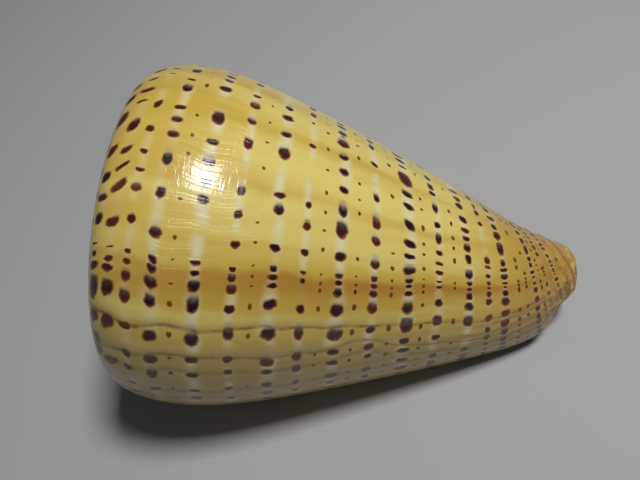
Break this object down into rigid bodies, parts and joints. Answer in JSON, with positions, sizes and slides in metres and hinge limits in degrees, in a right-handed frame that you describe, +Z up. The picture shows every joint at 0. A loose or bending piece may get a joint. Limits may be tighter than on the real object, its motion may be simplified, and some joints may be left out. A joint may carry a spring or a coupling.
{
  "type": "cone shell",
  "caption": "Glossy yellow cone shell with rows of dark dots, a low stepped spire, a rounded shoulder, a long narrow mouth and a blunt front end, lying on its lip.",
  "frame": {"origin": "centre of the bounding box in X and Y, at the lowest point, on the surface that the shell lies on", "axes": "+X from the spire towards the front end, seen from above; +Z up; the mouth opens down and towards -Y"},
  "size_m": [0.107, 0.0724, 0.0661],
  "materials": {
    "shell": "glossy natural shell, yellow with rows of dark brown dots, white inside the mouth"
  },
  "bodies": {
    "root": {"shell": "shell"}
  },
  "joints": []
}
